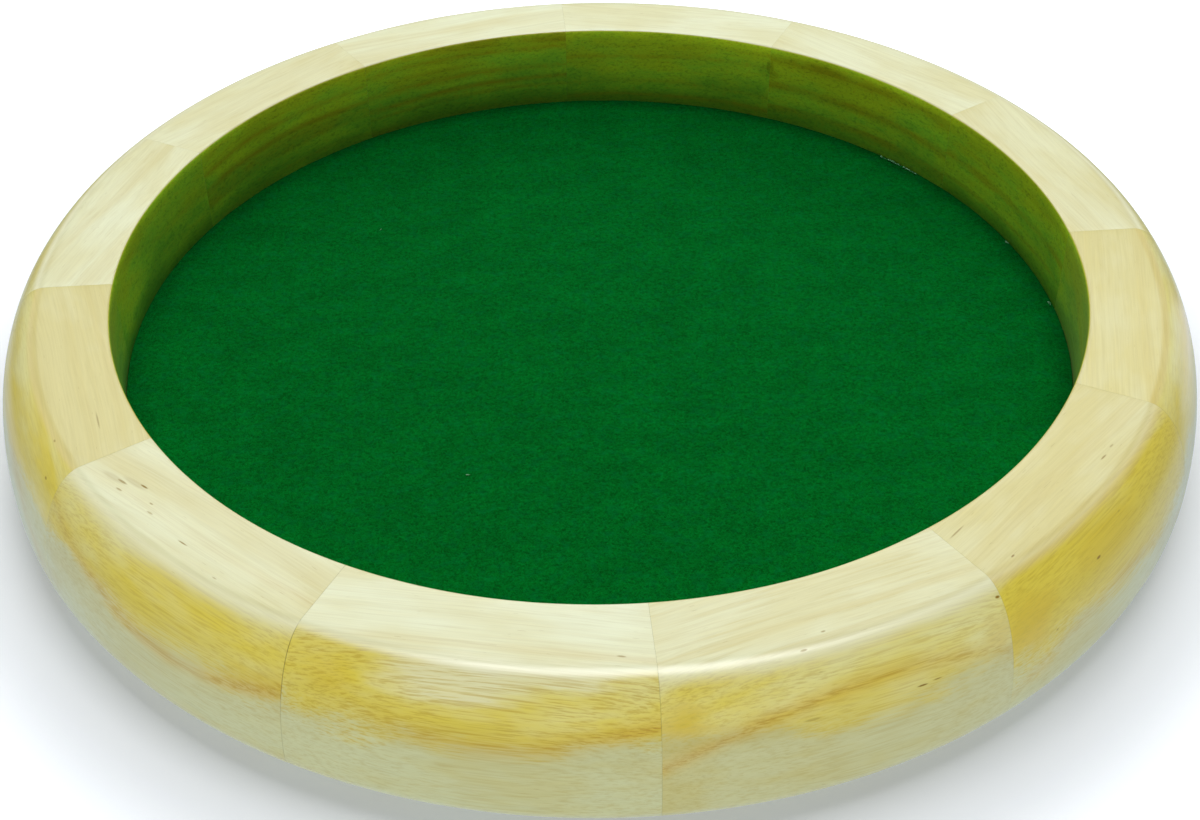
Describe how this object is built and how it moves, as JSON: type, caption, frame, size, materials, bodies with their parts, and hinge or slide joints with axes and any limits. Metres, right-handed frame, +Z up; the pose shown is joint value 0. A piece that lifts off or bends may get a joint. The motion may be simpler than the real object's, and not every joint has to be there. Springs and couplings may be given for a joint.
{
  "type": "dice tray",
  "caption": "Round wooden dice tray: a ring of glued wood segments with a rounded outside around a sunken felt-covered floor.",
  "frame": {"origin": "centre of the circle that the tray stands on, on the table surface", "axes": "+Z up through the tray's centre; +X through the glued seam between the last and the first rim segment"},
  "size_m": [0.3, 0.3, 0.038],
  "materials": {
    "rim_wood": "satin clear lacquer on pale rubberwood",
    "floor_plywood": "bare birch plywood",
    "floor_felt": "matte green felt"
  },
  "bodies": {
    "root": {"rim_segment_01": "rim_wood", "rim_segment_02": "rim_wood", "rim_segment_03": "rim_wood", "rim_segment_04": "rim_wood", "rim_segment_05": "rim_wood", "rim_segment_06": "rim_wood", "rim_segment_07": "rim_wood", "rim_segment_08": "rim_wood", "rim_segment_09": "rim_wood", "rim_segment_10": "rim_wood", "rim_segment_11": "rim_wood", "rim_segment_12": "rim_wood", "floor_panel": "floor_plywood", "felt_lining": "floor_felt"}
  },
  "joints": []
}
